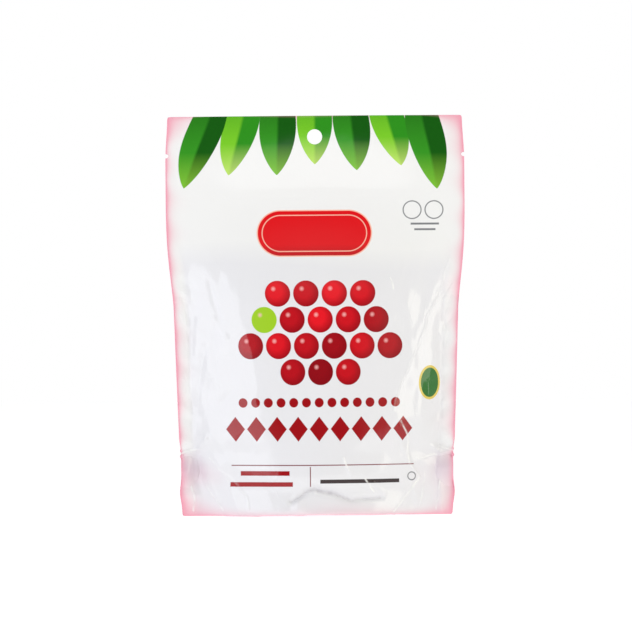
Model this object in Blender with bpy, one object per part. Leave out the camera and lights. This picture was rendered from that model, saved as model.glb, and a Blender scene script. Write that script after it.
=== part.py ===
"""Stand-up food pouch: a filled and sealed film bag that stands on its opened bottom gusset.

The pouch is one closed solid. Its film doesn't stretch, so the deeper the belly is at some height,
the nearer its two side seals come together there. The front faces -Y and the floor is at Z = 0.
"""

import math

import bmesh
import bpy

# Driving dimensions, in metres
HEIGHT = 0.2406
FILM_WIDTH = 0.1802
SIDE_SEAL_WIDTH = 0.008
SEAL_THICKNESS = 0.001

# Belly: how far the front and the back stand off the plane of the side seals, along the middle
BELLY_AT_FLOOR = 0.0315
BELLY_NARROWING = 0.0717
FILL_TOP = 0.122
HEADER_START = 0.200

# Bottom gusset: its fold pinches the side edges, and its seal leaves a skirt above the floor
GUSSET_FOLD_HEIGHT = 0.038
GUSSET_SEAL_HEIGHT = 0.014
GUSSET_SEAL_DIP = 0.0016
GUSSET_SEAL_SPREAD = 0.006
KNUCKLE_PINCH = 0.0009
KNUCKLE_SPREAD = 0.005
HOLLOW_FLANK_POWER = 1.6
HOLLOW_FLANK_BOTTOM = 0.022
HOLLOW_FLANK_TOP = 0.046
BASE_RECESS = 0.003
BASE_RECESS_START = 0.97
BASE_FLAT_START = 0.55

# Header: flat above the contents, bowed forward a little, and slightly narrower at the top
HEADER_BOW = 0.005
HEADER_BOW_START = 0.150
TOP_NARROWING = 0.0013
TOP_NARROWING_START = 0.214
HANG_HOLE_RADIUS = 0.00455
HANG_HOLE_BELOW_TOP = 0.0127
HANG_HOLE_SIDES = 32
TEAR_NOTCH_HEIGHT = 0.217
TEAR_NOTCH_HALF_HEIGHT = 0.0013
TEAR_NOTCH_DEPTH = 0.0018
TEAR_NOTCH_SIDES = 12
CUTTER_LENGTH = 0.040

# How finely the solid is divided
COLUMNS = 30
BASE_ROWS = 12
ROW_STEP = 0.0056
CHORD_STEPS = 12
SHARP_ANGLE = math.radians(50)


def smooth_step(low, high, value):
    """Rises smoothly from 0 at low to 1 at high."""
    t = min(max((value - low) / (high - low), 0.0), 1.0)
    return t * t * (3.0 - 2.0 * t)


def bump(centre, spread, value):
    """A round bump: 1 at the centre, nothing much past twice the spread."""
    return math.exp(-(((value - centre) / spread) ** 2))


def belly_depth(z):
    """Depth of one face of the pouch at a height, along the middle."""
    wedge = BELLY_AT_FLOOR - BELLY_NARROWING * z
    filled = 1.0 - smooth_step(FILL_TOP, HEADER_START, z)
    dip = GUSSET_SEAL_DIP * bump(GUSSET_SEAL_HEIGHT, GUSSET_SEAL_SPREAD, z)
    return wedge * filled - dip


def belly_half_width(z):
    """Half of the straight distance between the side seals, for film of a fixed length."""
    film = FILM_WIDTH - 2.0 * SIDE_SEAL_WIDTH
    chord = film
    for _ in range(CHORD_STEPS):
        chord = film / (1.0 + 8.0 / 3.0 * (belly_depth(z) / chord) ** 2)
    pinch = KNUCKLE_PINCH * bump(GUSSET_FOLD_HEIGHT, KNUCKLE_SPREAD, z)
    taper = TOP_NARROWING * smooth_step(TOP_NARROWING_START, HEIGHT, z)
    return chord / 2.0 - pinch - taper


def header_bow(x, z):
    """How far the header bows forward of the plane of the side seals."""
    across = x / (FILM_WIDTH / 2.0)
    return HEADER_BOW * (1.0 - across * across) * smooth_step(HEADER_BOW_START, HEIGHT, z)


def face_point(u, z, side):
    """A point of the front (side -1) or the back (side 1), with u from -1 to 1 between the seals."""
    x = u * belly_half_width(z)
    hollow = 1.0 - smooth_step(HOLLOW_FLANK_BOTTOM, HOLLOW_FLANK_TOP, z)
    power = 1.0 + (HOLLOW_FLANK_POWER - 1.0) * hollow
    rise = belly_depth(z) * max(1.0 - u * u, 0.0) ** power
    y = side * (SEAL_THICKNESS / 2.0 + rise) - header_bow(x, z)
    return (x, y, z)


def seal_edge_point(end, z, side):
    """A point on the outer edge of the left (end -1) or the right (end 1) side seal."""
    x = end * (belly_half_width(z) + SIDE_SEAL_WIDTH)
    return (x, side * SEAL_THICKNESS / 2.0, z)


def face_row(z, side):
    """All the points of one face at one height, from the left edge to the right edge."""
    row = [seal_edge_point(-1, z, side)]
    for column in range(COLUMNS + 1):
        row.append(face_point(2.0 * column / COLUMNS - 1.0, z, side))
    row.append(seal_edge_point(1, z, side))
    return row


def base_height(u, v):
    """Height of the gusset film over the floor, with v from -1 at the front to 1 at the back."""
    inward = abs(v)
    rise = 1.0 - smooth_step(BASE_RECESS_START - 0.2, BASE_RECESS_START, inward)
    fall = smooth_step(BASE_FLAT_START - 0.15, BASE_FLAT_START + 0.15, inward)
    return BASE_RECESS * rise * fall * (1.0 - u * u)


def base_row(v):
    """One row of the underside between the side seals, on the way from the front to the back."""
    row = []
    for front, back in zip(face_row(0.0, -1)[1:-1], face_row(0.0, 1)[1:-1]):
        y = front[1] + (back[1] - front[1]) * (v + 1.0) / 2.0
        row.append((front[0], y, base_height(front[0] / belly_half_width(0.0), v)))
    return row


def add_row(mesh, points):
    """Adds a row of points to the mesh and returns its vertices."""
    return [mesh.verts.new(point) for point in points]


def join_rows(mesh, lower, upper, flip):
    """Fills the strip between two rows with four-sided faces."""
    for i in range(len(lower) - 1):
        corners = [lower[i], lower[i + 1], upper[i + 1], upper[i]]
        if flip:
            corners.reverse()
        mesh.faces.new(corners)


def join_rows_in_turn(mesh, rows, flip):
    """Fills every strip of a stack of rows."""
    for lower, upper in zip(rows, rows[1:]):
        join_rows(mesh, lower, upper, flip)


def pouch_mesh():
    """The closed skin of the pouch: front, back, side edges, top edge and underside."""
    mesh = bmesh.new()
    count = round(HEIGHT / ROW_STEP)
    heights = [HEIGHT * i / count for i in range(count + 1)]
    front = [add_row(mesh, face_row(z, -1)) for z in heights]
    back = [add_row(mesh, face_row(z, 1)) for z in heights]
    join_rows_in_turn(mesh, front, flip=False)
    join_rows_in_turn(mesh, back, flip=True)
    for end, flip in ((0, False), (-1, True)):
        join_rows(mesh, [row[end] for row in front], [row[end] for row in back], flip)
    join_rows(mesh, front[-1], back[-1], flip=False)
    between = [2.0 * i / BASE_ROWS - 1.0 for i in range(1, BASE_ROWS)]
    under = [front[0][1:-1]] + [add_row(mesh, base_row(v)) for v in between] + [back[0][1:-1]]
    join_rows_in_turn(mesh, under, flip=True)
    for end, flip in ((0, False), (-1, True)):
        seal_end = [front[0][end]] + [row[end] for row in under] + [back[0][end]]
        if flip:
            seal_end.reverse()
        mesh.faces.new(seal_end)
    bmesh.ops.recalc_face_normals(mesh, faces=mesh.faces)
    data = bpy.data.meshes.new("pouch")
    mesh.to_mesh(data)
    mesh.free()
    return data


def film_material():
    """White glossy film."""
    material = bpy.data.materials.new("glossy_film")
    material.use_nodes = True
    shader = material.node_tree.nodes["Principled BSDF"]
    shader.inputs["Base Color"].default_value = (0.84, 0.83, 0.85, 1.0)
    shader.inputs["Roughness"].default_value = 0.25
    shader.inputs["Metallic"].default_value = 0.0
    return material


def add_cutter(name, sides, location, scale):
    """A round bar along Y that cuts through the header."""
    bpy.ops.mesh.primitive_cylinder_add(vertices=sides, radius=1.0, depth=CUTTER_LENGTH, location=location)
    cutter = bpy.context.active_object
    cutter.name = name
    cutter.rotation_euler.x = math.pi / 2.0
    cutter.scale = (scale[0], scale[1], 1.0)
    cutter.hide_render = True
    cutter.display_type = "WIRE"
    return cutter


def cut(target, cutter):
    """Cuts one object out of another."""
    modifier = target.modifiers.new(cutter.name, "BOOLEAN")
    modifier.operation = "DIFFERENCE"
    modifier.solver = "EXACT"
    modifier.object = cutter


def build_pouch():
    """The pouch with its hang hole and its two tear notches."""
    data = pouch_mesh()
    data.materials.append(film_material())
    pouch = bpy.data.objects.new("pouch", data)
    bpy.context.collection.objects.link(pouch)
    hole_size = (HANG_HOLE_RADIUS, HANG_HOLE_RADIUS)
    hole_place = (0.0, 0.0, HEIGHT - HANG_HOLE_BELOW_TOP)
    cut(pouch, add_cutter("hang_hole_cutter", HANG_HOLE_SIDES, hole_place, hole_size))
    notch_size = (TEAR_NOTCH_DEPTH, TEAR_NOTCH_HALF_HEIGHT)
    for side, name in ((-1, "left_notch_cutter"), (1, "right_notch_cutter")):
        notch_place = seal_edge_point(side, TEAR_NOTCH_HEIGHT, 0)
        cut(pouch, add_cutter(name, TEAR_NOTCH_SIDES, notch_place, notch_size))
    data.shade_smooth()
    data.set_sharp_from_angle(angle=SHARP_ANGLE)
    return pouch


for old in list(bpy.data.objects):
    bpy.data.objects.remove(old, do_unlink=True)
build_pouch()
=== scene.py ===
# %% [markdown]
# # A stand-up pouch in glossy film
# The imported model is a plain solid of the whole pouch. This lesson puts the real film in its place:
# a slab as large as the flat film is cut into small cells, opened, filled by a short cloth run,
# creased where the real film is creased, and printed with plain fields of colour.
# The imported model is loaded first, because the overall height and width of the film are taken from it.

# %% Load the imported pouch
import math

import bmesh
import bpy
import numpy as np
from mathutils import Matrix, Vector


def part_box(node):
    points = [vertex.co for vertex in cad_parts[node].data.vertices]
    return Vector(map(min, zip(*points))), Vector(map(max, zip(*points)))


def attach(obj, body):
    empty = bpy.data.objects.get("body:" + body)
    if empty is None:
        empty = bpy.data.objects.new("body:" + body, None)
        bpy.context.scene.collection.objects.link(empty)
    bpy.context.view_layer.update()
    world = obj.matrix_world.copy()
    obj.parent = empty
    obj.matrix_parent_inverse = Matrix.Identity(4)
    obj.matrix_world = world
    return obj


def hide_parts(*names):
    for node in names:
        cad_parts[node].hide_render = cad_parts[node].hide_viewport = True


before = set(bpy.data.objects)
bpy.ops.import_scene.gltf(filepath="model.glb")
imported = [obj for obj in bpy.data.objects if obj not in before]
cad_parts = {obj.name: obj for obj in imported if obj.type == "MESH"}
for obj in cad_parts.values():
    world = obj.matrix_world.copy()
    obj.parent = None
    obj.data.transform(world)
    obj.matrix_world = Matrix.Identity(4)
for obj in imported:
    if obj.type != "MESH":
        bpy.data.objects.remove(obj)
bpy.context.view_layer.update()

pouch_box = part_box("pouch")
MM = 0.001
print("the solid reaches from", pouch_box[0], "to", pouch_box[1])

# %% [markdown]
# ## Driving sizes
# The film is one flat web before it is filled. It doesn't stretch, so how far the belly stands out
# decides how far the side seals draw in. These are the sizes that the solid was made from, but with
# thinner seals and softer hollows at the foot of the flanks. FLAT_HEIGHT is a little more than the
# standing height, because the belly takes up film. The overall height and width come from the frame.

# %% Sizes of the film
HEIGHT = pouch_box[1][2]
FILM_WIDTH = pouch_box[1][0] - pouch_box[0][0]
FLAT_HEIGHT = HEIGHT + 4.6 * MM
SIDE_SEAL_WIDTH = 8.0 * MM
SEAL_THICKNESS = 0.5 * MM
SEAL_LINE = FILM_WIDTH / 2.0 - SIDE_SEAL_WIDTH
BELLY_AT_FLOOR = 31.5 * MM
BELLY_NARROWING = 0.0717
FILL_TOP = 122.0 * MM
HEADER_START = 200.0 * MM
GUSSET_FOLD_HEIGHT = 38.0 * MM
GUSSET_SEAL_HEIGHT = 14.0 * MM
GUSSET_SEAL_DIP = 1.6 * MM
GUSSET_SEAL_SPREAD = 6.0 * MM
KNUCKLE_PINCH = 0.9 * MM
KNUCKLE_SPREAD = 5.0 * MM
HOLLOW_FLANK_BOTTOM = 14.0 * MM
HOLLOW_FLANK_TOP = 60.0 * MM
HOLLOW_FLANK_POWER = 1.25
TOP_NARROWING = 1.3 * MM
TOP_NARROWING_START = 214.0 * MM
HEADER_BOW = 5.0 * MM
HEADER_BOW_START = 150.0 * MM
BASE_RECESS = 3.0 * MM
BASE_RECESS_START = 0.97
BASE_FLAT_START = 0.55
print("flat film:", round(FILM_WIDTH / MM, 1), "by", round(FLAT_HEIGHT / MM, 1), "mm")

# %% [markdown]
# ## The opened shape as a rule
# Every point of the film has an address: how far it lies from the middle of the flat film, and how
# far up. The functions below turn that address into a place on the filled pouch. They work on
# whole arrays at once, which is much quicker than a loop over every point.

# %% Helpers for smooth rules
def smooth_step(low, high, value):
    """Rises smoothly from 0 at low to 1 at high."""
    t = np.clip((np.asarray(value, dtype=float) - low) / (high - low), 0.0, 1.0)
    return t * t * (3.0 - 2.0 * t)


def bump(centre, spread, value):
    """A round bump: 1 at the centre, nothing much past twice the spread."""
    return np.exp(-(((np.asarray(value, dtype=float) - centre) / spread) ** 2))


print("halfway up a smooth step:", float(smooth_step(0.0, 1.0, 0.5)))

# %% The filled shape
CHORD_STEPS = 12
SEAM_SOFTNESS = 0.05


def belly_depth(z):
    """How far one face stands off the plane of the side seals, along the middle."""
    wedge = BELLY_AT_FLOOR - BELLY_NARROWING * z
    dip = GUSSET_SEAL_DIP * bump(GUSSET_SEAL_HEIGHT, GUSSET_SEAL_SPREAD, z)
    return wedge * (1.0 - smooth_step(FILL_TOP, HEADER_START, z)) - dip


def belly_half_width(z):
    """Half of the straight distance between the side seals, for film of a fixed length."""
    flat_width = 2.0 * SEAL_LINE
    chord = np.full_like(np.asarray(z, dtype=float), flat_width)
    for _ in range(CHORD_STEPS):
        chord = flat_width / (1.0 + 8.0 / 3.0 * (belly_depth(z) / chord) ** 2)
    pinch = KNUCKLE_PINCH * bump(GUSSET_FOLD_HEIGHT, KNUCKLE_SPREAD, z)
    taper = TOP_NARROWING * smooth_step(TOP_NARROWING_START, HEIGHT, z)
    return chord / 2.0 - pinch - taper


def belly_profile(u, z):
    """The share of the depth at u, from -1 to 1 between the seals, with hollow flanks low down."""
    hollow = 1.0 - smooth_step(HOLLOW_FLANK_BOTTOM, HOLLOW_FLANK_TOP, z)
    power = 1.0 + (HOLLOW_FLANK_POWER - 1.0) * hollow
    parabola = np.maximum(1.0 - u * u, 0.0) ** power
    return np.sqrt(parabola ** 2 + SEAM_SOFTNESS ** 2) - SEAM_SOFTNESS


def opened_point(s, t, side):
    """The place of the film point s across and t up, on the front (-1), the back (1) or between."""
    z = t * HEIGHT / FLAT_HEIGHT
    half = belly_half_width(z)
    u = np.clip(s / SEAL_LINE, -1.0, 1.0)
    past_seal_line = np.sign(s) * np.maximum(np.abs(s) - SEAL_LINE, 0.0)
    x = u * half + past_seal_line
    bow = HEADER_BOW * (1.0 - (2.0 * x / FILM_WIDTH) ** 2) * smooth_step(HEADER_BOW_START, HEIGHT, z)
    y = side * (SEAL_THICKNESS / 2.0 + belly_depth(z) * belly_profile(u, z)) - bow
    return np.stack([x, y, z], axis=-1)


print("belly depth at 50 mm:", round(float(belly_depth(50.0 * MM)) / MM, 1), "mm")

# %% [markdown]
# ## The slab of film
# A real pouch is two sheets and a gusset, sealed together. It could be made of two grids joined at
# their edges, but here a cube as wide and tall as the flat film and as thick as a seal is the start.
# In edit mode its edges are cut along one direction at a time. The result is a closed envelope of
# small cells, whose front, back, edges and underside stay joined, so nothing has to be stitched.

# %% Add the slab and cut it into cells
COLUMNS = 84
ROWS = 112
UNDERSIDE_ROWS = 8
ALONG_AXIS = 0.9


def deselect_everything():
    bpy.ops.object.select_all(action="DESELECT")


def cut_along(piece, axis, cuts):
    """Cuts every edge that runs along one axis."""
    bpy.context.view_layer.objects.active = piece
    bpy.ops.object.mode_set(mode="EDIT")
    bpy.ops.mesh.select_mode(type="EDGE")
    mesh = bmesh.from_edit_mesh(piece.data)
    for edge in mesh.edges:
        span = edge.verts[0].co - edge.verts[1].co
        edge.select_set(abs(span[axis]) > ALONG_AXIS * span.length)
    bmesh.update_edit_mesh(piece.data)
    bpy.ops.mesh.subdivide(number_cuts=cuts)
    bpy.ops.object.mode_set(mode="OBJECT")


deselect_everything()
bpy.ops.mesh.primitive_cube_add(size=1.0, location=(0.0, 0.0, FLAT_HEIGHT / 2.0))
film = bpy.context.active_object
film.name = "printed_film"
film.scale = (FILM_WIDTH, SEAL_THICKNESS, FLAT_HEIGHT)
bpy.ops.object.transform_apply(location=True, rotation=False, scale=True)
for axis, cuts in ((0, COLUMNS - 1), (2, ROWS - 1), (1, UNDERSIDE_ROWS - 1)):
    cut_along(film, axis, cuts)
print("the slab has", len(film.data.vertices), "points")


# %% Read and write all points at once
def read_points(mesh):
    flat = np.empty(len(mesh.vertices) * 3)
    mesh.vertices.foreach_get("co", flat)
    return flat.reshape(-1, 3)


def write_points(mesh, points):
    mesh.vertices.foreach_set("co", points.astype(np.float32).ravel())
    mesh.update()


print("the slab is", round(float(np.ptp(read_points(film.data)[:, 1])) / MM, 2), "mm thick")

# %% [markdown]
# ## The film's own map
# The print belongs to the flat film, so its map is written while the slab is still flat: the map's
# first number is the distance across, its second the distance up, both in metres. The back has the
# same map moved one metre aside, so that a material can tell front from back.
# A small random shift of the inner points comes first, or the creases would follow the grid.

# %% Loosen the grid
LOOSENING = 0.24
HEADER_EDGE_KEPT = 12.0 * MM
rng = np.random.default_rng(11)
slab = read_points(film.data)
film_s = slab[:, 0].copy()
film_t = slab[:, 2].copy()
film_side = slab[:, 1] / (SEAL_THICKNESS / 2.0)
cell = FILM_WIDTH / COLUMNS
is_face = np.abs(film_side) > 0.99
is_inner = is_face & (np.abs(film_s) < SEAL_LINE - 0.4 * cell)
is_inner &= (film_t > 0.5 * cell) & (film_t < FLAT_HEIGHT - HEADER_EDGE_KEPT)
film_s += rng.uniform(-LOOSENING, LOOSENING, len(slab)) * cell * is_inner
film_t += rng.uniform(-LOOSENING, LOOSENING, len(slab)) * cell * is_inner
print(int(is_inner.sum()), "points were moved by up to", round(LOOSENING * cell / MM, 2), "mm")

# %% Write the map
film_map = film.data.uv_layers.active or film.data.uv_layers.new(name="film")
film_map.name = "film"
corner_points = np.empty(len(film.data.loops), dtype=np.int32)
film.data.loops.foreach_get("vertex_index", corner_points)
corner_starts = np.empty(len(film.data.polygons), dtype=np.int32)
film.data.polygons.foreach_get("loop_start", corner_starts)
face_side = np.add.reduceat(film_side[corner_points], corner_starts) > 1e-3
corner_on_back = np.repeat(face_side, np.diff(np.append(corner_starts, len(corner_points))))
corner_map = np.stack([film_s[corner_points] + corner_on_back * 1.0, film_t[corner_points]], axis=-1)
film_map.data.foreach_set("uv", corner_map.astype(np.float32).ravel())
print("the map covers", len(corner_points), "corners")

# %% [markdown]
# ## Open the pouch
# The slab is opened to the filled shape. The underside is the gusset: it is arched up a little
# behind the front and back edges, and lies flat on the table in the middle. The rule places the
# whole film at once. Pulling it open point by point would take longer and come out uneven.

# %% Open the slab
def base_height(u, v):
    """Height of the gusset film over the floor, with v from -1 at the front to 1 at the back."""
    inward = np.abs(v)
    rise = 1.0 - smooth_step(BASE_RECESS_START - 0.2, BASE_RECESS_START, inward)
    fall = smooth_step(BASE_FLAT_START - 0.15, BASE_FLAT_START + 0.15, inward)
    return BASE_RECESS * rise * fall * (1.0 - u * u)


front = opened_point(film_s, film_t, -1)
back = opened_point(film_s, film_t, 1)
share = ((film_side + 1.0) / 2.0)[:, None]
opened = front * (1.0 - share) + back * share
is_under = film_t < 1e-6
u_across = np.clip(film_s / SEAL_LINE, -1.0, 1.0)
opened[:, 2] += is_under * base_height(u_across, film_side)
write_points(film.data, opened)
print("opened depth:", round(float(np.ptp(opened[:, 1])) / MM, 1), "mm")

# %% [markdown]
# ## Fill it
# Dried fruit pushes the film out from inside, most at the bottom, and nothing pushes in the
# header. A short cloth run does that: its rest shape is a touch larger than the opened pouch, so
# the film has some slack and buckles by itself. The seals and the underside are held, and the
# pressure fades with height. A wavy start decides where the film buckles first.

# %% Helpers for the cloth run
WAVE_COUNT = 9
SKIRT_HEIGHT = 9.0 * MM
SKIRT_ARCH_POWER = 2.4


def wavy(s, t, length, upright, seed):
    """Soft waves of about one length. With upright near 1 their crests run up the pouch."""
    waves = np.random.default_rng(seed)
    total = np.zeros_like(s)
    for _ in range(WAVE_COUNT):
        angle = waves.uniform(-1.0, 1.0) * math.pi / 2.0 * (1.0 - 0.75 * upright)
        phase = waves.uniform(0.0, 2.0 * math.pi)
        along = s * math.cos(angle) + t * math.sin(angle)
        total += np.sin(2.0 * math.pi * along / (length * waves.uniform(0.7, 1.5)) + phase)
    return total / 3.0


def gusset_seal(s):
    """How high the gusset seal reaches at a distance from the middle."""
    a = np.clip(np.abs(s) / SEAL_LINE, 0.0, 1.0)
    arch = 1.0 - np.sqrt(np.maximum(1.0 - a ** SKIRT_ARCH_POWER, 0.0))
    return SKIRT_HEIGHT + (GUSSET_FOLD_HEIGHT - SKIRT_HEIGHT) * arch


def weigh(piece, name, weights):
    """Writes one weight for each point as a vertex group."""
    group = piece.vertex_groups.new(name=name)
    for index in np.nonzero(weights > 0.001)[0]:
        group.add([int(index)], float(weights[index]), "REPLACE")


print("the gusset seal is lowest at", round(float(gusset_seal(0.0)) / MM, 1), "mm")

# %% The wavy start and the push of the fruit
FLANK_RIPPLE = 0.25 * MM
RIPPLE_LENGTH = 18.0 * MM
FULL_PUSH_HEIGHT = 110.0 * MM
NO_PUSH_HEIGHT = 172.0 * MM


def wavy_start():
    """The opened points with upright ripples on both flanks, below the header."""
    flank = smooth_step(0.45, 0.9, np.abs(u_across))
    below_header = 1.0 - smooth_step(140.0 * MM, 185.0 * MM, film_t)
    ripple = FLANK_RIPPLE * wavy(film_s, film_t, RIPPLE_LENGTH, 0.9, 5) * flank * below_header
    start = opened.copy()
    start[:, 1] += ripple * is_inner
    return start


def push_of_fruit():
    """How hard the fruit pushes at each point: most at the bottom, nothing in the seals."""
    push = (1.0 - smooth_step(FULL_PUSH_HEIGHT, NO_PUSH_HEIGHT, film_t)) * is_inner
    push *= smooth_step(0.0, 6.0 * MM, film_t - gusset_seal(film_s))
    return push * (0.95 - 2.2 * film_t)


print("the fruit pushes on", int((push_of_fruit() > 0.001).sum()), "points")

# %% The cloth run
FILL_FRAMES = 18
FILM_SLACK = 0.002
FILM_SETTINGS = {
    "quality": 7,
    "mass": 0.1,
    "tension_stiffness": 120.0,
    "compression_stiffness": 120.0,
    "shear_stiffness": 60.0,
    "bending_stiffness": 0.25,
    "air_damping": 1.0,
    "vertex_group_mass": "held",
    "pin_stiffness": 5.0,
    "use_pressure": True,
    "uniform_pressure_force": 1.5,
    "vertex_group_pressure": "push",
}


def fill_with_fruit(piece):
    """Runs the cloth and writes its result into the mesh."""
    write_points(piece.data, wavy_start())
    piece.shape_key_add(name="Basis")
    slack = piece.shape_key_add(name="slack")
    slack.data.foreach_set("co", (opened * (1.0 + FILM_SLACK)).astype(np.float32).ravel())
    slack.value = 0.0
    weigh(piece, "held", ~is_inner * 1.0)
    weigh(piece, "push", push_of_fruit())
    cloth = piece.modifiers.new("fill", "CLOTH")
    for name, value in FILM_SETTINGS.items():
        setattr(cloth.settings, name, value)
    cloth.settings.rest_shape_key = slack
    cloth.settings.effector_weights.gravity = 0.0
    cloth.collision_settings.use_collision = False
    cloth.point_cache.frame_end = FILL_FRAMES
    for number in range(1, FILL_FRAMES + 1):
        bpy.context.scene.frame_set(number)
    shown = piece.evaluated_get(bpy.context.evaluated_depsgraph_get())
    filled = read_points(shown.data)
    piece.modifiers.remove(cloth)
    piece.shape_key_clear()
    piece.vertex_groups.clear()
    bpy.context.scene.frame_set(1)
    write_points(piece.data, filled)
    return filled


filled = fill_with_fruit(film)
moved = np.abs(filled - opened).max(axis=1)
print("the film moved", round(float(moved.max()) / MM, 1), "mm at most while it filled")

# %% [markdown]
# ## A finer film
# Film bends in sharp lines, which need small cells. The cloth run would be slow on them, so the
# mesh is only divided now: one level of subdivision makes cells of about 1 mm.

# %% Refine
def apply_modifier(piece, kind, settings):
    """Adds a modifier with its settings and applies it."""
    modifier = piece.modifiers.new("step", kind)
    for name, value in settings.items():
        setattr(modifier, name, value)
    bpy.context.view_layer.objects.active = piece
    bpy.ops.object.modifier_apply(modifier=modifier.name)


apply_modifier(film, "SUBSURF", {"levels": 1, "render_levels": 1})
print("the fine film has", len(film.data.polygons), "cells")

# %% [markdown]
# ## Creases
# A crease in film is a sharp line whose two sides lean away from it. Sculpting could make them, but
# lines can be read and changed later. Each one here is a short line across the face of the pouch,
# with how far it stands out (plus) or in (minus) and how wide its two sides are, all in
# millimetres. The lines are where the photograph shows them. The film moves along its own outward
# direction, so a crease on the flank points sideways. The back has the same ones, turned round.

# %% Lines of the creases on the front
FRONT_CREASES = {
    # how far out or in, width of each side, points (x, z), in mm
    "right_long_fold": (0.50, 11.0, [(77, 149), (69, 131), (61, 110), (59, 98),
                                     (47, 74), (47.5, 63), (50, 54)]),
    "right_thin_crease": (0.42, 2.2, [(50, 54), (51, 44), (54, 34), (60, 26), (50, 10), (46, 1)]),
    "right_second_fold": (0.20, 6.0, [(80, 133), (76, 128), (67, 110), (65, 90),
                                      (61, 68), (61, 61), (50, 58)]),
    "right_valley": (-0.85, 9.5, [(82, 131), (79, 117), (77, 103), (76, 91), (75.5, 72), (74, 40)]),
    "right_knuckle": (1.20, 3.0, [(88, 40.5), (84, 39.5), (75, 37), (70, 41)]),
    "right_corner_fold": (1.10, 5.0, [(75, 36), (74, 18), (75, 1)]),
    "right_facet": (-0.25, 6.0, [(55, 43), (68, 34)]),
    "left_inner_fold": (0.22, 10.0, [(-66, 163), (-55, 146), (-48, 127), (-45, 119),
                                     (-39, 99), (-36, 80), (-37, 68)]),
    "left_inner_fold_low": (0.16, 8.0, [(-37, 68), (-25, 59), (-37, 39), (-41, 30)]),
    "left_outer_fold": (0.36, 6.0, [(-63, 118), (-65, 89), (-69, 68), (-63, 51), (-53, 34)]),
    "left_streak": (0.30, 4.0, [(-71, 119), (-74, 95), (-76, 73)]),
    "left_upper_streak": (0.28, 3.0, [(-79, 135), (-73, 122)]),
    "left_crinkle": (-0.40, 3.6, [(-64, 141), (-62, 131), (-58, 119)]),
    "left_crinkle_tick": (0.34, 3.0, [(-62, 119), (-54, 108)]),
    "left_valley": (-0.45, 4.5, [(-67, 102), (-71, 80), (-72, 62)]),
    "left_ripple": (0.30, 3.5, [(-80, 112), (-79, 88), (-81, 66)]),
    "left_wedge": (-0.28, 4.0, [(-57, 68), (-50, 77)]),
    "left_wedge_edge": (0.12, 5.0, [(-56, 60), (-42, 71)]),
    "left_knuckle": (1.20, 3.0, [(-88, 35), (-81, 36), (-70, 41), (-66, 47)]),
    "left_corner_fold": (0.80, 4.5, [(-66, 24), (-60, 10)]),
    "left_diagonal": (1.8, 22.0, [(-66, 46), (-55, 24), (-46, 4)]),
    "bottom_crease": (-1.90, 3.2, [(-16, 9), (-7, 14.5), (-2, 16), (9, 14), (21, 10), (38, 11)]),
    "bottom_arc": (0.30, 3.0, [(-38, 0), (-32, 5), (-9, 3), (38, 3)]),
    "upper_tick": (0.22, 1.8, [(44, 142), (45.5, 136)]),
    "lower_tick": (0.34, 2.4, [(16, 34), (21, 24)]),
    "bottom_tick": (0.34, 2.2, [(33, 20), (41, 13)]),
    "small_tick": (0.30, 2.0, [(-28, 19), (-22, 25)]),
    "corner_bump": (0.45, 3.0, [(58, 16), (60, 8)]),
    "shoulder_line": (-0.12, 2.0, [(51, 158.6), (75, 158.6)]),
    "zipper_upper": (0.12, 1.6, [(-80, 193.6), (80, 193.6)]),
    "zipper_lower": (0.12, 1.6, [(-80, 189.8), (80, 189.8)]),
}
print(len(FRONT_CREASES), "creases")

# %% Round dents and swells on the front
FRONT_DENTS = {
    # how far in or out, half widths across and up, centre, in mm
    "left_hollow": (-2.6, 7.0, 8.5, (-74, 28)),
    "right_hollow": (-2.6, 5.0, 9.0, (80, 27)),
    "left_corner_swell": (0.8, 5.0, 5.0, (-75, 13)),
    "bottom_swell": (1.2, 3.5, 4.0, (-11, 6)),
    "upper_left_dent": (-0.25, 16.0, 12.0, (-33, 142)),
    "upper_right_dent": (-0.15, 12.0, 12.0, (55, 137)),
}
print(len(FRONT_DENTS), "dents and swells")


# %% Relief of the creases and dents
FAR_AWAY = 1e9


def distance_to_line(x, z, start, end):
    """Distance from many points to one straight stretch."""
    run = np.subtract(end, start)
    length = math.hypot(run[0], run[1])
    along = ((x - start[0]) * run[0] + (z - start[1]) * run[1]) / length
    nearest = np.clip(along, 0.0, length)
    near_x = start[0] + run[0] * nearest / length
    near_z = start[1] + run[1] * nearest / length
    return np.hypot(x - near_x, z - near_z)


def crease_relief(x, z):
    """The sum of all creases and dents, in millimetres, at points given in millimetres."""
    relief = np.zeros_like(x)
    for height, width, points in FRONT_CREASES.values():
        nearest = np.full_like(x, FAR_AWAY)
        for start, end in zip(points, points[1:]):
            nearest = np.minimum(nearest, distance_to_line(x, z, start, end))
        relief += height * np.clip(1.0 - nearest / width, 0.0, 1.0) ** 2
    for depth, across, up, centre in FRONT_DENTS.values():
        relief += depth * bump(0.0, 1.0, np.hypot((x - centre[0]) / across, (z - centre[1]) / up))
    return relief


bottom_relief = crease_relief(np.zeros(1), np.full(1, 16.0))
print("relief where the bottom crease is deepest:", round(float(bottom_relief[0]), 1), "mm")

# %% [markdown]
# ## Puckers and crinkles
# Beside the side seals the film is puckered, because the seal holds it shorter than the film next to
# it. Over the flanks and the bottom it is crinkled into flat little facets with ridges between them.
# Nobody would draw these one by one, so rules make them: waves that fade away from the seal, and
# the distance to the nearest of many random points, which rises to a ridge halfway between two.

# %% Helpers to read the film's points
def outward_directions(mesh):
    flat = np.empty(len(mesh.vertices) * 3)
    mesh.vertices.foreach_get("normal", flat)
    return flat.reshape(-1, 3)


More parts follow.
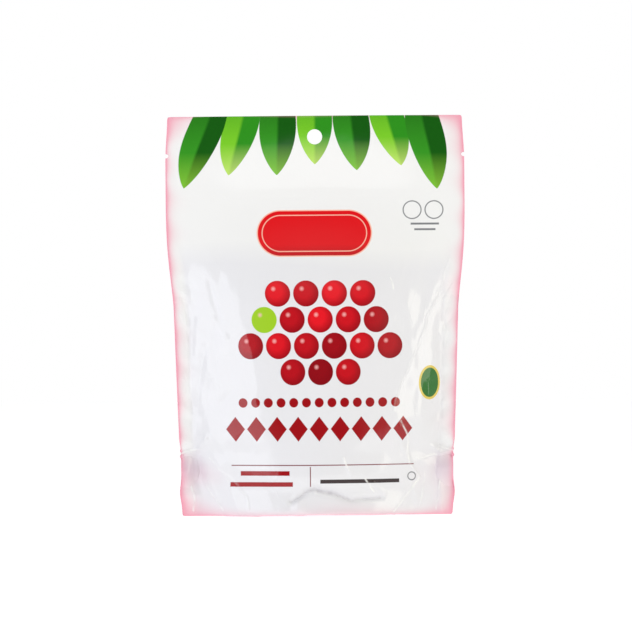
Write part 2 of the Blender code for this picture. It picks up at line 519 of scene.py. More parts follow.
def read_map(mesh):
    """Each point's own address on the film: across, up, and whether it is on the back."""
    corners = np.empty(len(mesh.loops), dtype=np.int32)
    mesh.loops.foreach_get("vertex_index", corners)
    values = np.empty(len(mesh.loops) * 2)
    mesh.uv_layers["film"].data.foreach_get("uv", values)
    address = np.zeros((len(mesh.vertices), 2))
    address[corners] = values.reshape(-1, 2)
    on_back = address[:, 0] > 0.5
    return address[:, 0] - on_back * 1.0, address[:, 1], on_back


fine_s, fine_t, on_back = read_map(film.data)
print(int(on_back.sum()), "of", len(fine_s), "points are on the back")


# %% Puckers and crinkles as rules
PUCKER_HEIGHT = 0.20
RIDGE_SOFTNESS = 0.2
RIDGE_LEVEL = 0.5


def pucker_relief(s, t):
    """Short wrinkles that run inwards from the side seals, in millimetres."""
    inward = SEAL_LINE - np.abs(s)
    reach = np.where(inward > 0.0, np.exp(-inward / (6.0 * MM)), np.exp(inward / (4.0 * MM)))
    zone = smooth_step(30.0 * MM, 48.0 * MM, t) * (1.0 - smooth_step(130.0 * MM, 165.0 * MM, t))
    slant = t + 0.6 * inward
    side = np.sign(s)
    patches = 0.5 + 0.5 * np.sin(t / (11.0 * MM) + 2.2 * side) * np.sin(t / (6.1 * MM) - side)
    wave = np.sin(slant / (2.9 * MM) + side) + 0.8 * np.sin(slant / (1.7 * MM) - 2.0 * side)
    return PUCKER_HEIGHT * wave * patches * reach * zone


def crinkle_relief(s, t, seeds, across, up):
    """A net of fine ridges between random long cells, in parts of the cell size."""
    nearest = np.full_like(s, FAR_AWAY)
    for seed_s, seed_t in seeds:
        nearest = np.minimum(nearest, np.hypot((s - seed_s) / across, (t - seed_t) / up))
    return np.sqrt(nearest ** 2 + RIDGE_SOFTNESS ** 2) - RIDGE_LEVEL


def crinkle_zone(s, t):
    """Where the film is crinkled: on the flanks and along the bottom, not in the header."""
    across = np.abs(s) / SEAL_LINE
    flank = smooth_step(0.42, 0.62, across) * (1.0 - smooth_step(0.97, 1.0, across))
    low = 1.0 - smooth_step(24.0 * MM, 48.0 * MM, t)
    return np.maximum(flank, 0.8 * low) * (1.0 - smooth_step(135.0 * MM, 168.0 * MM, t))


def facet_zone(s, t):
    """Where the broad facets are: all over the filled part, up to the side seals."""
    filled = 1.0 - smooth_step(125.0 * MM, 160.0 * MM, t)
    return filled * smooth_step(0.0, 6.0 * MM, SEAL_LINE - np.abs(s))


print("crinkled share of the film:", round(float(crinkle_zone(fine_s, fine_t).mean()), 2))

# %% Random centres of the crinkles and facets
CRINKLE_SIZE = (10.0 * MM, 26.0 * MM)
CRINKLE_HEIGHT = 0.42
CRINKLE_COUNT = 260
FACET_SIZE = (32.0 * MM, 44.0 * MM)
FACET_HEIGHT = 0.45
FACET_COUNT = 34
CRINKLED_TOP = 175.0 * MM
crinkle_rng = np.random.default_rng(4)


def random_centres(count):
    """Centres spread at random over the filled part of the film."""
    across = crinkle_rng.uniform(-SEAL_LINE, SEAL_LINE, count)
    return np.stack([across, crinkle_rng.uniform(0.0, CRINKLED_TOP, count)], axis=-1)


crinkle_seeds = random_centres(CRINKLE_COUNT)
facet_seeds = random_centres(FACET_COUNT)
print(len(crinkle_seeds), "crinkles and", len(facet_seeds), "facets")

# %% Press the relief into the film
points = read_points(film.data)
outward = outward_directions(film.data)
mirror = np.where(on_back, -1.0, 1.0)
relief = crease_relief(points[:, 0] * mirror / MM, points[:, 2] / MM)
relief += pucker_relief(fine_s * mirror, fine_t)
crinkles = crinkle_relief(fine_s * mirror, fine_t, crinkle_seeds, *CRINKLE_SIZE)
relief += CRINKLE_HEIGHT * crinkles * crinkle_zone(fine_s, fine_t)
facets = crinkle_relief(fine_s * mirror, fine_t, facet_seeds, *FACET_SIZE)
relief += FACET_HEIGHT * facets * facet_zone(fine_s, fine_t)
points += outward * (relief * MM)[:, None]
points[:, 2] = np.maximum(points[:, 2], 0.0)
write_points(film.data, points)
print("deepest and highest crease:", round(float(relief.min()), 2), round(float(relief.max()), 2), "mm")

# %% [markdown]
# ## Hang hole and tear notches
# The round hole in the header takes a shelf hook, and a small notch in each side seal starts the
# tear. Both are punched right through the film, and here too a bar along Y is cut out of the piece.
# Boolean cuts come last, because they leave long thin cells that would spoil the creases.

# %% Cut the hole and the notches
HANG_HOLE_RADIUS = 4.55 * MM
HANG_HOLE_HEIGHT = HEIGHT - 12.7 * MM
NOTCH_HEIGHT = 217.0 * MM
NOTCH_SIZE = (1.8 * MM, 1.3 * MM)
BAR_LENGTH = 60.0 * MM


def cut_with_bar(piece, sides, centre, size):
    """Cuts a round or oval bar along Y out of a piece."""
    deselect_everything()
    place = (centre[0], 0.0, centre[1])
    bpy.ops.mesh.primitive_cylinder_add(vertices=sides, radius=1.0, depth=BAR_LENGTH, location=place)
    bar = bpy.context.active_object
    bar.rotation_euler = (math.pi / 2.0, 0.0, 0.0)
    bar.scale = (size[0], size[1], 1.0)
    apply_modifier(piece, "BOOLEAN", {"operation": "DIFFERENCE", "solver": "EXACT", "object": bar})
    bpy.data.objects.remove(bar, do_unlink=True)


seal_edge = float(belly_half_width(NOTCH_HEIGHT)) + SIDE_SEAL_WIDTH
cut_with_bar(film, 48, (0.0, HANG_HOLE_HEIGHT), (HANG_HOLE_RADIUS, HANG_HOLE_RADIUS))
for side in (-1.0, 1.0):
    cut_with_bar(film, 16, (side * seal_edge, NOTCH_HEIGHT), NOTCH_SIZE)
print("after the cuts the film has", len(film.data.polygons), "cells")

# %% [markdown]
# ## Ink on the film
# The pouch is white film with plain printed fields: a pink glow along its edges, a green garland at
# the top, an oval panel, a patch of discs, two rows of small shapes, and a few bars and rings. They
# could be a picture, but rules keep them sharp at any distance and need no file. The class below
# stands for one value in the material, so that a rule can be written as ordinary sums.

# %% Shader values as expressions
class Ink:
    """A value in the material. Sums and products of values add Math nodes."""

    tree = None

    def __init__(self, socket):
        self.socket = socket

    @classmethod
    def node(cls, kind, settings=None, inputs=None, output=0):
        """Adds any node: its type, its settings, then the values or links of its sockets."""
        added = cls.tree.nodes.new(kind)
        for name, value in (settings or {}).items():
            setattr(added, name, value)
        for name, value in (inputs or {}).items():
            if isinstance(value, Ink):
                cls.tree.links.new(value.socket, added.inputs[name])
            else:
                added.inputs[name].default_value = value
        return cls(added.outputs[output])

    @classmethod
    def maths(cls, operation, first, second=0.0):
        return cls.node("ShaderNodeMath", {"operation": operation}, {0: first, 1: second})

    def __add__(self, other):
        return Ink.maths("ADD", self, other)

    def __sub__(self, other):
        return Ink.maths("SUBTRACT", self, other)

    def __rsub__(self, other):
        return Ink.maths("SUBTRACT", other, self)

    def __mul__(self, other):
        return Ink.maths("MULTIPLY", self, other)

    def __truediv__(self, other):
        return Ink.maths("DIVIDE", self, other)

    def __rtruediv__(self, other):
        return Ink.maths("DIVIDE", other, self)

    def __pow__(self, other):
        return Ink.maths("POWER", self, other)

    def __rpow__(self, other):
        return Ink.maths("POWER", other, self)

    def __mod__(self, other):
        return Ink.maths("FLOORED_MODULO", self, other)

    def __abs__(self):
        return Ink.maths("ABSOLUTE", self)

    __radd__ = __add__
    __rmul__ = __mul__


print("ink values can be added, subtracted, multiplied, divided and raised to a power")

# %% Helpers for values and colours
INK_EDGE = 0.3


def linear(red, green, blue):
    """A screen colour, from 0 to 255, as the light it stands for."""
    parts = [value / 255.0 for value in (red, green, blue)]
    return tuple(p / 12.92 if p <= 0.04045 else ((p + 0.055) / 1.055) ** 2.4 for p in parts) + (1.0,)


def sine(value):
    return Ink.maths("SINE", value)


def largest(first, second):
    return Ink.maths("MAXIMUM", first, second)


def smallest(first, second):
    return Ink.maths("MINIMUM", first, second)


def length_of(first, second):
    return Ink.maths("SQRT", first * first + second * second)


def clamped(value):
    return Ink.node("ShaderNodeClamp", None, {"Value": value})


def falloff(value):
    """1 where the value is 0, fading to 0 past 1, like a round bump."""
    return math.e ** (value ** 2.0 * -1.0)


def inside(distance):
    """1 where a signed distance in millimetres is negative, 0 where it is positive."""
    return clamped(0.5 - distance / INK_EDGE)


def above(value, limit, width):
    """Rises from 0 to 1 while a value passes a limit."""
    return clamped((value - limit) / width + 0.5)


def paint(below, colour, mask):
    """Lays one colour over another where the mask is 1."""
    return Ink.node("ShaderNodeMix", {"data_type": "RGBA"}, {0: mask, 6: below, 7: colour}, 2)


print("white as light:", linear(255, 255, 255))


# %% Shapes as signed distances
def oval(x, z, half_width, half_height):
    return (length_of(x / half_width, z / half_height) - 1.0) * min(half_width, half_height)


def box(x, z, half_width, half_height):
    return largest(abs(x) - half_width, abs(z) - half_height)


def rounded_box(x, z, half_width, half_height, radius):
    past_x = largest(abs(x) - (half_width - radius), 0.0)
    past_z = largest(abs(z) - (half_height - radius), 0.0)
    return length_of(past_x, past_z) - radius


def lozenge(x, z, half_width, half_height):
    steepness = half_width * half_height / math.hypot(half_width, half_height)
    return (abs(x) / half_width + abs(z) / half_height - 1.0) * steepness


print("distances go by millimetres, and a printed edge is", INK_EDGE, "mm wide")

# %% [markdown]
# ## The film's material
# The ink is under a clear outer layer, so the whole pouch has one gloss, and one shader does both:
# only its colour changes over the surface, and later its finest creases. Every rule reads the film's
# own map, not the place in space, so that the print stays on the film however it is folded.

# %% Places on the film
GLOSS_ROUGHNESS = 0.08
material = bpy.data.materials.new("printed_film")
material.use_nodes = True
Ink.tree = material.node_tree
shader = material.node_tree.nodes["Principled BSDF"]
shader.inputs["Roughness"].default_value = GLOSS_ROUGHNESS

map_values = Ink.node("ShaderNodeUVMap", {"uv_map": "film"})
map_x = Ink.node("ShaderNodeSeparateXYZ", None, {0: map_values}, 0)
map_y = Ink.node("ShaderNodeSeparateXYZ", None, {0: map_values}, 1)
back_side = Ink.maths("GREATER_THAN", map_x, 0.5)
ink_x = (map_x - back_side) * 1000.0
ink_z = map_y * 1000.0


def film_address(x, z):
    """The film point, in millimetres, that shows at x, z on the front of the filled pouch."""
    across = x * SEAL_LINE / float(belly_half_width(z * MM))
    return across, z * FLAT_HEIGHT / HEIGHT


def local(x, z):
    """The ink's place, measured from a point on the front of the filled pouch."""
    s, t = film_address(x, z)
    return ink_x - s, ink_z - t


flat_mm = FLAT_HEIGHT / MM
half_mm = FILM_WIDTH / 2.0 / MM
print("a point at x 60, z 50 mm lies", round(film_address(60.0, 50.0)[0], 1), "mm across the flat film")

# %% [markdown]
# ## White film
# The film is painted in two whites. Over the filled belly it is a cool, greyish white, which is painted
# shade, and in the header it is a brighter white, which is painted light. The side seals, where two
# films lie together, take the brighter white too. A slow change joins the two whites.

# %% Two whites
SHADED_WHITE = (0.812, 0.808, 0.842, 1.0)
LIT_WHITE = (0.874, 0.872, 0.878, 1.0)
LIT_HEADER_START = 159.0
LIT_HEADER_FADE = 14.0
LIT_HEADER_SWAY = 3.0
# a greyer white over the belly is painted shade, and a brighter white in the header is painted light;
# the seals take the brighter white too
sway = sine(ink_x / 31.0) * LIT_HEADER_SWAY
empty = above(ink_z + sway, LIT_HEADER_START, LIT_HEADER_FADE)
empty = largest(empty, above(abs(ink_x), SEAL_LINE / MM, 3.0))
colour = paint(SHADED_WHITE, LIT_WHITE, empty)
print("the film turns whiter", LIT_HEADER_START, "mm up")

# %% [markdown]
# ## Pink glow
# A soft pink is printed along all four edges. It is strongest at the very edge and fades inwards
# within a few millimetres. It reaches further in at the corners, and under the knuckles, where the
# gusset fold ends at the side seals, its extra reach is painted shade in the hollows there. On the
# knuckles it reaches less far, which leaves a painted highlight. A straight fade would look like
# a frame, so its reach also wavers along the edge. Below each knuckle the film is drawn in to a
# small hollow, and a mauve painted shade is laid over it.

# %% Pink glow
EDGE_PINK = (0.87, 0.31, 0.43, 1.0)
HOLLOW_SHADE_MAUVE = (0.66, 0.56, 0.65, 1.0)
GLOW_REACH = 2.3
GLOW_WAVER = 0.9
GLOW_POWER = 1.2
GLOW_STRENGTH = 0.94
KNUCKLE_HEIGHT = 42.0
HOLLOW_CENTRE = (85.0, 29.0)
HOLLOW_SIZE = (7.5, 9.0)
to_side = half_mm - abs(ink_x)
to_end = smallest(flat_mm - ink_z + 1.2, ink_z + 0.8)
to_edge = largest(to_side, 0.0) * largest(to_end, 0.0) / (to_side + to_end)
near_corner = length_of(to_side / 16.0, smallest(ink_z, flat_mm - ink_z) / 12.0)
knuckle_highlight = falloff((ink_z - KNUCKLE_HEIGHT) / 5.0)
hollow_pink_shade = falloff((ink_z - 27.0) / 9.0) * above(abs(ink_x), 60.0, 10.0)
reach = sine(ink_z / 9.0 + ink_x / 17.0) * sine(ink_z / 5.3) * GLOW_WAVER + GLOW_REACH
# the pink reaches less far on the knuckles, which is a painted highlight, and further in under them,
# which is painted shade in the hollows
reach = reach - knuckle_highlight * 1.3 + hollow_pink_shade * 2.6 + falloff(near_corner) * 1.5
glow = math.e ** ((to_edge / reach) ** GLOW_POWER * -1.0) * GLOW_STRENGTH
from_hollow = length_of((abs(ink_x) - HOLLOW_CENTRE[0]) / HOLLOW_SIZE[0],
                        (ink_z - HOLLOW_CENTRE[1]) / HOLLOW_SIZE[1])
colour = paint(colour, EDGE_PINK, glow)
# a mauve painted shade in the hollow below each knuckle
colour = paint(colour, HOLLOW_SHADE_MAUVE, falloff(from_hollow) * 0.70)
print("the glow reaches", round(2.0 * GLOW_REACH, 1), "mm in from the edge")

# %% [markdown]
# ## Green garland
# Two rows of pointed petals hang from the top edge. The outer petals are longer, and they lean
# outwards like a fan. Each row repeats along the film: the place within one petal is the remainder
# of a division, so that one rule draws the whole row. One half of a petal is darker than the other,
# as in folded paper, and it turns pale towards its tip.

# %% Rows of petals
GARLAND = [
    # pitch, shift, height of the middle tips, of the side tips, lean, fullness, light, dark and tip tone
    (45.0, 22.5, 215.0, 200.0, 0.20, 0.48,
     linear(120, 200, 40), linear(44, 142, 26), linear(214, 238, 120)),
    (45.0, 0.0, 213.0, 184.0, -0.30, 0.50,
     linear(52, 146, 32), linear(16, 88, 10), linear(150, 212, 66)),
]
PETAL_START = 24.0
PETAL_FAN = 1.0
OUTERMOST_PETAL = 80.0


def petal_row(below, pitch, shift, middle_tip, side_tip, lean, fullness, light, dark, end_tone):
    """Paints one row of hanging petals, each a pointed oval that starts above the film's edge."""
    place = (ink_x + shift) / pitch
    number = Ink.maths("FLOOR", place)
    centre = (number + 0.5) * pitch - shift
    wobble = sine(number * 2.4)
    tip = middle_tip + wobble * 4.0 - (centre / half_mm) ** 2.0 * (middle_tip - side_tip)
    span = flat_mm + PETAL_START - tip
    down = (flat_mm + PETAL_START - ink_z) / span
    fan = centre / half_mm * PETAL_FAN + wobble * lean
    across = (place - number) * 2.0 - 1.0 - (down - 0.5) * fan
    width = clamped(down * (1.0 - down) * 4.0) ** 0.8 * (fullness + 0.03) - 0.03
    mask = inside((abs(across) - width) * pitch * 0.5)
    mask = mask * Ink.maths("LESS_THAN", abs(centre), OUTERMOST_PETAL)
    petal = paint(light, dark, above(across, 0.0, 0.08))
    petal = paint(petal, dark, clamped(0.66 - down) * 1.6)
    petal = paint(petal, end_tone, clamped(down * 2.6 - 1.75) * 0.8)
    return paint(below, petal, mask)


for row in GARLAND:
    colour = petal_row(colour, *row)
colour = paint(colour, EDGE_PINK, glow * above(glow, 0.7, 0.6) * 0.7)
print("the garland has", len(GARLAND), "rows")

# %% [markdown]
# ## Oval panel and patch of discs
# The panel is a plain red oval with round ends, a pale rim and a pale line inside it, and it is
# darker along the bottom. The discs stand in a hexagonal pattern: every second row is moved by half
# a pitch, and only the discs whose centres lie in a wide oval are kept, so that none is cut through.
# They are in shades of red, each with a small glint and a dark rim, and one of them is lime.

# %% Oval panel
PANEL_RED = linear(224, 8, 20)
PANEL_SHADE = linear(150, 0, 12)
PANEL_LINE = linear(250, 190, 170)
PANEL_HALF_WIDTH = 34.2
PANEL_HALF_HEIGHT = 13.7
PANEL_RIM = 0.7
PANEL_LINE_INSET = 2.6
PANEL_LINE_HALF_WIDTH = 0.3
front_ink = colour
panel_x, panel_z = local(-0.6, 169.8)


def panel_shape(grown):
    """The oval of the panel, grown or shrunk all round."""
    half_height = PANEL_HALF_HEIGHT + grown
    return rounded_box(panel_x, panel_z, PANEL_HALF_WIDTH + grown, half_height, half_height)


panel = inside(panel_shape(0.0))
low_part = clamped(panel_z / -9.0 - 0.75) * 0.7
front_ink = paint(front_ink, PANEL_LINE, inside(panel_shape(PANEL_RIM)))
front_ink = paint(front_ink, PANEL_RED, panel)
front_ink = paint(front_ink, PANEL_SHADE, panel * low_part)
line = abs(panel_shape(-PANEL_LINE_INSET)) - PANEL_LINE_HALF_WIDTH
front_ink = paint(front_ink, PANEL_LINE, inside(line))
print("the panel is", 2.0 * PANEL_HALF_WIDTH, "by", 2.0 * PANEL_HALF_HEIGHT, "mm")

# %% Places of the discs
DISC_PITCH = 17.8
DISC_ROW_PITCH = 16.0
DISC_RADIUS = 8.0
PATCH_HALF_WIDTH = 51.0
PATCH_HALF_HEIGHT = 33.0
patch_x, patch_z = local(2.5, 110.0)
patch_z = patch_z - DISC_ROW_PITCH / 2.0
disc_row = Ink.maths("FLOOR", patch_z / DISC_ROW_PITCH + 0.5)
row_shift = (disc_row % 2.0) * (DISC_PITCH / 2.0)
disc_number = Ink.maths("FLOOR", (patch_x + row_shift) / DISC_PITCH + 0.5)
disc_x = disc_number * DISC_PITCH - row_shift
disc_z = disc_row * DISC_ROW_PITCH
middle_z = disc_z + DISC_ROW_PITCH / 2.0
from_middle = length_of(disc_x / PATCH_HALF_WIDTH, middle_z / PATCH_HALF_HEIGHT)
in_patch = above(1.0 - from_middle, 0.0, 0.001)
from_x = patch_x - disc_x
from_z = patch_z - disc_z
print("the discs are", 2.0 * DISC_RADIUS, "mm wide and", DISC_PITCH, "mm apart")

# %% Colours of the discs
DISC_RED = linear(232, 22, 36)
DISC_DARK = linear(128, 2, 16)
DISC_GLINT = linear(255, 190, 190)
DISC_LIME = linear(160, 206, 40)
LIME_DISC = (-2.0, 0.0)
shade = ((disc_number * 2.0 + disc_row * 3.0) % 5.0) / 5.0
disc_ink = paint(DISC_RED, DISC_DARK, clamped(shade * 0.8 - disc_row * 0.12))
rim = above(length_of(from_x + 1.4, from_z - 1.6), 0.92 * DISC_RADIUS, 0.8 * DISC_RADIUS)
disc_ink = paint(disc_ink, DISC_DARK, rim * 0.85)
is_lime = Ink.maths("COMPARE", disc_number, LIME_DISC[0]) * Ink.maths("COMPARE", disc_row, LIME_DISC[1])
disc_ink = paint(disc_ink, DISC_LIME, is_lime)
glint = clamped(1.2 - length_of(from_x + 2.6, from_z - 3.0) / 1.5)
disc_ink = paint(disc_ink, DISC_GLINT, glint * 0.75)
disc_mask = inside(length_of(from_x, from_z) - DISC_RADIUS) * in_patch
front_ink = paint(front_ink, disc_ink, disc_mask)
print("so far the material has", len(material.node_tree.nodes), "nodes")

# %% [markdown]
# ## Rows of small shapes
# Below the discs are two maroon rows, one of small discs and one of lozenges, and below these a
# thin rule with plain bars. On the right are a green oval with a yellow rim, and grey rings with
# bars. Each row is one rule again, and each single shape is one distance.

# %% Maroon rows and bars
MAROON = linear(158, 8, 18)
DARK = linear(46, 30, 32)
RULE = linear(124, 44, 54)
BAR_STRETCH = 1.07


def row_of(shape, first, last, z, pitch, size):
    """Repeats a shape along a row on the front of the filled pouch."""
    start = film_address(first, z)[0]
    end = film_address(last, z)[0]
    count = max(round((end - start) / pitch), 1)
    step = (end - start) / count
    along = (ink_x - start) % step - step / 2.0
    upward = ink_z - film_address(0.0, z)[1]
    in_row = inside(box(ink_x - (start + end) / 2.0, upward, (end - start) / 2.0, size[1] + 1.0))
    return inside(shape(along, upward, *size)) * in_row


def bar(first, last, low, high):
    """A plain bar on the front of the filled pouch."""
    x, z = local((first + last) / 2.0, (low + high) / 2.0)
    return inside(box(x, z, (last - first) / 2.0 * BAR_STRETCH, (high - low) / 2.0))


front_ink = paint(front_ink, MAROON, row_of(oval, -48.0, 51.0, 68.2, 8.2, (2.9, 2.9)))
front_ink = paint(front_ink, MAROON, row_of(lozenge, -55.0, 57.8, 52.4, 13.5, (6.2, 7.6)))
for extent in ((-52.6, 59.5, 30.5, 31.1), (-4.4, -3.8, 17.8, 30.0)):
    front_ink = paint(front_ink, RULE, bar(*extent))
for extent in ((-46.0, -16.0, 24.6, 27.4), (-52.0, -14.0, 18.0, 20.8)):
    front_ink = paint(front_ink, MAROON, bar(*extent))
front_ink = paint(front_ink, DARK, bar(1.0, 50.0, 19.8, 22.2))
print("two rows, two rules and three bars are printed")

# %% Badge and rings
BADGE_GREEN = linear(40, 110, 35)
BADGE_YELLOW = linear(222, 198, 92)
SOFT_GREY = linear(128, 130, 134)
RING_HALF_WIDTH = 0.35
badge_x, badge_z = local(68.0, 79.6)
front_ink = paint(front_ink, BADGE_YELLOW, inside(oval(badge_x, badge_z, 7.2, 10.5)))
front_ink = paint(front_ink, BADGE_GREEN, inside(oval(badge_x, badge_z, 5.9, 9.0)))
for x, z, radius in ((58.4, 183.6, 5.4), (71.6, 183.6, 5.4), (56.5, 23.5, 2.4)):
    ring = abs(length_of(*local(x, z)) - radius) - RING_HALF_WIDTH
    front_ink = paint(front_ink, SOFT_GREY, inside(ring))
for extent in ((58.0, 74.0, 174.6, 175.8), (60.0, 72.0, 171.2, 172.4)):
    front_ink = paint(front_ink, SOFT_GREY, bar(*extent))
print("one badge, three rings and two bars are printed")

# %% [markdown]
# ## Back print
# The photograph doesn't show the back. It gets the same glow and garland, and a plain pale panel
# with a thin maroon frame and a few bars, as the back of such a pouch has.

# %% Back panel
BACK_PANEL = linear(250, 232, 234)
BACK_PANEL_MIDDLE = 112.0
BACK_FRAME = 0.8
BACK_BARS = ((40.0, 40.0), (33.0, 46.0), (26.0, 46.0), (19.0, 34.0))
BACK_BAR_HALF_HEIGHT = 1.1
panel_up = ink_z - BACK_PANEL_MIDDLE
back_ink = colour
for ink, inset in ((MAROON, 0.0), (BACK_PANEL, BACK_FRAME)):
    frame_shape = rounded_box(ink_x, panel_up, 56.0 - inset, 58.0 - inset, 6.0 - inset)
    back_ink = paint(back_ink, ink, inside(frame_shape))
for height, half_width in BACK_BARS:
    back_bar = box(ink_x, panel_up - height, half_width, BACK_BAR_HALF_HEIGHT)
    back_ink = paint(back_ink, MAROON, inside(back_bar))
print("the back has one panel with", len(BACK_BARS), "bars")

# %% [markdown]
# ## Hairline creases
# The sharpest creases are thinner than the cells of the mesh. Cells fine enough for them would make
# the piece too heavy, so they go into the material: each is a tiny ridge along a line on the front,
# as a bump. The lines waver a little, as real ones do. Some crests are also painted whiter in
# places, as painted highlights where the film glints, and the deep crease at the bottom gets a soft
# painted shade. A net of still finer crinkles covers parts of the flanks and of the bottom.

# %% Lines of the hairline creases
HAIRLINES = {
    # height in mm, width of each side in mm, strength of the painted highlight on the crest, points (x,
    # z) in mm
    "right_long": (0.14, 1.1, 0.3, [(81, 154), (73, 131), (67, 119), (58.5, 95), (49, 77), (46.5, 63)]),
    "right_low": (0.20, 1.0, 0.8, [(50.5, 57), (55, 43), (55.5, 31), (61, 23), (55, 13), (46.5, 3)]),
    "right_outer": (-0.16, 1.0, 0.0, [(81, 140), (76.5, 130), (77, 116), (78, 104)]),
    "right_knuckle": (0.22, 1.1, 0.9, [(74.5, 41), (87, 37)]),
    "right_shelf": (0.16, 1.0, 0.6, [(61, 34), (72, 36)]),
    "right_low_b": (0.14, 1.0, 0.4, [(64, 25), (62, 6)]),
    "right_corner": (0.18, 1.0, 0.6, [(73, 33), (72, 3)]),
    "left_knuckle": (0.22, 1.1, 0.9, [(-87, 36), (-70, 41)]),
    "left_corner": (0.20, 1.1, 0.6, [(-79, 25), (-74, 13), (-74, 3)]),
    "left_diagonal": (0.14, 1.2, 0.3, [(-64, 35), (-54, 25), (-42, 13), (-40, 5)]),
    "left_low_b": (0.14, 1.0, 0.5, [(-67, 19), (-56, 4)]),
    "bottom": (-0.24, 1.2, 0.0, [(-16, 9), (-11, 11), (-7, 14.5), (-2, 16), (4, 15),
                                 (9, 14), (15, 12), (21, 10), (38, 11)]),
    "glint_a": (0.20, 0.9, 0.8, [(16, 35), (19, 28)]),
    "glint_b": (0.20, 0.9, 0.8, [(28, 22), (34, 15)]),
    "glint_c": (0.16, 0.8, 0.6, [(44.5, 142), (46, 136)]),
}
print(len(HAIRLINES), "hairline creases")

# %% Distance to a hairline
QUICK_WAVER = 0.35
SLOW_WAVER = 0.5
RISING_WAVER = 0.4
bent_x = ink_x + sine(ink_z / 2.1) * QUICK_WAVER + sine(ink_z / 4.7) * SLOW_WAVER
bent_z = ink_z + sine(ink_x / 2.6) * RISING_WAVER


def stretch_distance(start, end):
    """How far a point of the film is from one straight stretch on the front of the filled pouch."""
    (s0, t0), (s1, t1) = film_address(*start), film_address(*end)
    run_s, run_t = s1 - s0, t1 - t0
    from_s, from_t = bent_x - s0, bent_z - t0
    along = clamped((from_s * run_s + from_t * run_t) / (run_s ** 2 + run_t ** 2))
    return length_of(from_s - along * run_s, from_t - along * run_t)


def line_distance(line):
    """How far a point of the film is from a line of several stretches."""
    nearest = stretch_distance(line[0], line[1])
    for start, end in zip(line[1:], line[2:]):
        nearest = smallest(nearest, stretch_distance(start, end))
    return nearest


print("the lines waver by up to", round(QUICK_WAVER + SLOW_WAVER, 2), "mm")

# %% Ridges, painted highlights on crests and the painted shade of the bottom crease
CREST_WIDTH = 0.8
GLINT_WHITE = (0.95, 0.95, 0.945, 1.0)
SHADE = (0.42, 0.38, 0.42, 1.0)
ridges = 0.0
painted_glints = 0.0
for name, (height, width, glint_strength, line) in HAIRLINES.items():
    nearest = line_distance(line)
    ridges = clamped(1.0 - nearest / width) * height + ridges
    if glint_strength > 0.0:
        painted_glints = largest(clamped(1.1 - nearest / CREST_WIDTH) * glint_strength, painted_glints)
    if name == "bottom":
        shade_width = clamped(1.0 - nearest / 4.4) * 0.18 + clamped(1.0 - nearest / 1.6) * 0.14
        crease_shade = shade_width * falloff((ink_x - 3.0) / 19.0)
front_ink = paint(front_ink, SHADE, crease_shade)
spots = Ink.node("ShaderNodeCombineXYZ", None, {0: ink_x / 5.0, 1: ink_z / 5.0})
fading = Ink.node("ShaderNodeTexNoise", {"noise_dimensions": "2D"}, {"Vector": spots, "Scale": 1.0})
# painted highlights: whiter crests along the hairlines, faded in and out by noise
front_ink = paint(front_ink, GLINT_WHITE, painted_glints * (above(fading, 0.48, 0.24) * 0.72 + 0.24))
print("with the hairlines the material has", len(material.node_tree.nodes), "nodes")

# %% Net of fine crinkles
CRINKLE_LINE = 0.07
NET_HEIGHT = 0.035
stretched = Ink.node("ShaderNodeCombineXYZ", None, {0: ink_x / 9.0, 1: ink_z / 17.0})
cells = Ink.node("ShaderNodeTexVoronoi", {"feature": "DISTANCE_TO_EDGE", "voronoi_dimensions": "2D"},
                 {"Vector": stretched, "Scale": 1.0})
patches = Ink.node("ShaderNodeTexNoise", {"noise_dimensions": "2D"},
                   {"Vector": stretched, "Scale": 0.45, "Detail": 1.0})
flanks = above(abs(ink_x), 48.0, 22.0) * (1.0 - above(ink_z, 150.0, 40.0))
where = clamped(flanks + (1.0 - above(ink_z, 26.0, 20.0))) * above(patches, 0.52, 0.10)
net = clamped(1.0 - cells / CRINKLE_LINE) * where * NET_HEIGHT
print("the net's ridges are", NET_HEIGHT, "mm high")

# %% Join front, back and bump
front_or_back = paint(front_ink, back_ink, back_side)
material.node_tree.links.new(front_or_back.socket, shader.inputs["Base Color"])
bumpy = Ink.node("ShaderNodeBump", None, {"Height": ridges * (1.0 - back_side) + net, "Distance": MM})
material.node_tree.links.new(bumpy.socket, shader.inputs["Normal"])
print("the material has", len(material.node_tree.nodes), "nodes")

# %% [markdown]
# ## Dress the film
# The piece takes the material, and its shading is smooth except along its cut edges. Then it is
# parented to the body it moves with, and the imported solid that it takes the place of is hidden.

# %% Dress the piece
film.data.materials.clear()
film.data.materials.append(material)
deselect_everything()
film.select_set(True)
bpy.context.view_layer.objects.active = film
bpy.ops.object.shade_smooth_by_angle(angle=math.radians(60.0))
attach(film, "root")
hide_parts("pouch")
print("the film takes the place of the packed pouch")

# %% [markdown]
# ## Studio
# The pouch stands on a plain pale floor. Glossy film shows what stands around it, so the lights are
# large and plain: a broad cool softbox on the left, a narrower warm one on the right, and a wide one
# above. The surroundings are white to the camera and dimmer as a light, and what the film mirrors of
# them is brighter at both sides and above than in front, which gives the film its soft bright bands.

# %% Floor
deselect_everything()
bpy.ops.mesh.primitive_plane_add(size=8.0, location=(0.0, 0.0, 0.0))
floor = bpy.context.active_object
floor.name = "floor"
paper = bpy.data.materials.new("pale_floor")
paper.use_nodes = True
paper_shader = paper.node_tree.nodes["Principled BSDF"]
paper_values = {
    "Base Color": (0.5, 0.5, 0.5, 1.0),
    "Roughness": 0.8,
    "Emission Color": (1.0, 1.0, 1.0, 1.0),
    "Emission Strength": 0.72,
}
for name, value in paper_values.items():
    paper_shader.inputs[name].default_value = value
floor.data.materials.append(paper)
print("the floor is", floor.dimensions.x, "m wide")

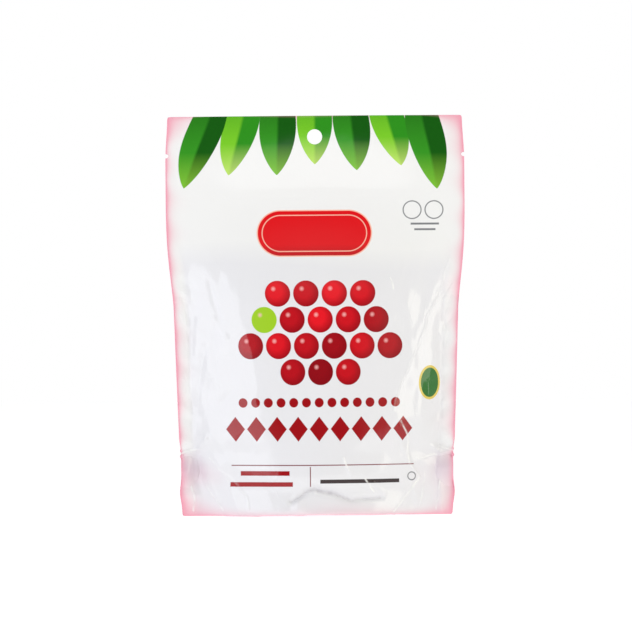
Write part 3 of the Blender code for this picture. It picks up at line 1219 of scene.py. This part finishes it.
# %% Surroundings
AMBIENT = 0.52
MIRRORED_AMBIENT = 0.12
MIRRORED_SIDES = 0.75
MIRRORED_CEILING = 0.6
COOL = (0.93, 0.955, 1.0)
WARM = (1.0, 0.98, 0.895)
WARMEST = (1.0, 0.975, 0.83)
WHITE = (1.0, 1.0, 1.0, 1.0)
world = bpy.data.worlds.new("studio")
world.use_nodes = True
Ink.tree = world.node_tree
seen = Ink.node("ShaderNodeLightPath", None, None, "Is Camera Ray")
mirrored = Ink.node("ShaderNodeLightPath", None, None, "Is Glossy Ray")
strength = seen * (1.0 - AMBIENT) + AMBIENT - mirrored * (AMBIENT - MIRRORED_AMBIENT)
direction = Ink.node("ShaderNodeTexCoord", None, None, "Generated")
to_right = Ink.node("ShaderNodeSeparateXYZ", None, {0: direction}, 0)
upward = Ink.node("ShaderNodeSeparateXYZ", None, {0: direction}, 2)
sides = above(abs(to_right), 0.62, 0.5) * MIRRORED_SIDES
ceiling = above(upward, 0.55, 0.5) * MIRRORED_CEILING
strength = strength + mirrored * (sides + ceiling)
tint = paint(COOL + (1.0,), WARM + (1.0,), above(to_right, 0.0, 1.6))
tint = paint(tint, WHITE, seen)
sky = world.node_tree.nodes["Background"]
world.node_tree.links.new(tint.socket, sky.inputs["Color"])
world.node_tree.links.new(strength.socket, sky.inputs["Strength"])
bpy.context.scene.world = world
print("the surroundings give", AMBIENT, "of full white as a light")

# %% Softboxes
LIT_HEIGHT = 100.0 * MM


def softbox(name, angle, distance, height, size, power, colour):
    """A rectangular soft light, at an angle to the left (minus) or right of the camera's direction."""
    light = bpy.data.lights.new(name, "AREA")
    light.shape = "RECTANGLE"
    light.size = size[0]
    light.size_y = size[1]
    light.energy = power
    light.color = colour
    lamp = bpy.data.objects.new(name, light)
    bpy.context.collection.objects.link(lamp)
    turn = math.radians(angle)
    lamp.location = (distance * math.sin(turn), -distance * math.cos(turn), height)
    aim = Vector((0.0, 0.0, LIT_HEIGHT)) - lamp.location
    lamp.rotation_euler = aim.to_track_quat("-Z", "Y").to_euler()
    lamp.visible_camera = False
    print(name, "gives", power, "W")


softbox("left_softbox", -53.0, 1.2, 0.50, (0.70, 1.2), 4.4, COOL)
softbox("right_softbox", 57.0, 1.2, 0.51, (0.40, 1.06), 3.1, WARMEST)
softbox("top_softbox", 8.0, 0.9, 1.25, (0.9, 0.25), 2.0, WARM)

# %% [markdown]
# ## Camera
# The photograph shows the front almost without perspective, so the camera is 3 m away with a long
# lens. One pixel of the picture then covers as much of the pouch as in the photograph, and a small
# roll matches the slight tilt of its lower edge.

# %% Camera
PHOTO_SIDE = 632
MM_PER_PIXEL = 0.603
SENSOR_WIDTH = 36.0
CAMERA_DISTANCE = 3.0
CAMERA_HEIGHT = 120.0 * MM
CAMERA_ROLL = math.radians(0.45)
camera_data = bpy.data.cameras.new("camera")
camera_data.sensor_width = SENSOR_WIDTH
camera_data.lens = SENSOR_WIDTH * CAMERA_DISTANCE / (PHOTO_SIDE * MM_PER_PIXEL * MM)
camera = bpy.data.objects.new("camera", camera_data)
bpy.context.collection.objects.link(camera)
camera.location = (0.0, -CAMERA_DISTANCE, CAMERA_HEIGHT)
camera.rotation_euler = (math.radians(90.0), CAMERA_ROLL, 0.0)
bpy.context.scene.camera = camera
bpy.context.scene.view_settings.view_transform = "Standard"
print("the lens is", round(camera_data.lens), "mm long")
